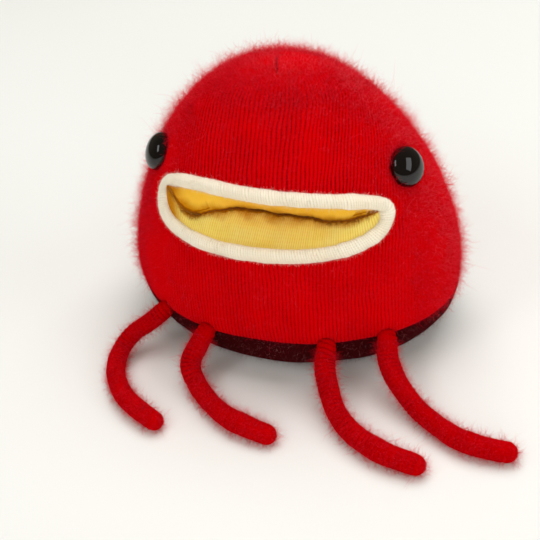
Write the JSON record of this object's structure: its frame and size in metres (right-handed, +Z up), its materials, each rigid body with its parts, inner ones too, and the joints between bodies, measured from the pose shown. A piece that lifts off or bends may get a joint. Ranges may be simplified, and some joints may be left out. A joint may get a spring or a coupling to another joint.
{
  "type": "plush monster",
  "caption": "Stuffed knit monster that sits on a flat base, with an open mouth pocket, domed eyes and legs that swing where they are sewn on.",
  "frame": {"origin": "point of the flat underside that the toy rests on, straight below the crown", "axes": "+Z up, the face looks along -Y, +X to the right as seen from the front"},
  "size_m": [0.2007, 0.1618, 0.1378],
  "materials": {
    "red_knit": "fine knit with a fuzzy surface",
    "dark_knit": "fine knit with a fuzzy surface",
    "cream_knit": "ribbed knit",
    "yellow_knit": "fine knit",
    "fibre_fill": "loose polyester fibre",
    "eye_plastic": "polished black",
    "washer_plastic": "plain white"
  },
  "bodies": {
    "body": {"body_front": "red_knit", "body_back": "red_knit", "base_panel": "dark_knit", "mouth_lip": "cream_knit", "pocket_upper": "yellow_knit", "pocket_lower": "yellow_knit", "body_stuffing": "fibre_fill", "eye_left": "eye_plastic", "eye_right": "eye_plastic", "eye_washer_left": "washer_plastic", "eye_washer_right": "washer_plastic"},
    "outer_left_leg": {"leg_outer_left": "red_knit", "leg_filling_outer_left": "fibre_fill"},
    "inner_left_leg": {"leg_inner_left": "red_knit", "leg_filling_inner_left": "fibre_fill"},
    "inner_right_leg": {"leg_inner_right": "red_knit", "leg_filling_inner_right": "fibre_fill"},
    "outer_right_leg": {"leg_outer_right": "red_knit", "leg_filling_outer_right": "fibre_fill"}
  },
  "joints": [
    {"name": "outer_left_leg_swing", "type": "hinge", "parent": "body", "child": "outer_left_leg", "pos_m": [-0.05461, -0.04683, 0.02205], "axis": [-0.8332, 0.5529, 0], "range_deg": [-25, 65]},
    {"name": "inner_left_leg_swing", "type": "hinge", "parent": "body", "child": "inner_left_leg", "pos_m": [-0.0291, -0.05838, 0.02207], "axis": [-0.9621, 0.2727, 0], "range_deg": [-25, 65]},
    {"name": "inner_right_leg_swing", "type": "hinge", "parent": "body", "child": "inner_right_leg", "pos_m": [0.0291, -0.05838, 0.02207], "axis": [-0.9621, -0.2727, 0], "range_deg": [-25, 65]},
    {"name": "outer_right_leg_swing", "type": "hinge", "parent": "body", "child": "outer_right_leg", "pos_m": [0.05461, -0.04683, 0.02205], "axis": [-0.8332, -0.5529, 0], "range_deg": [-25, 65]}
  ]
}
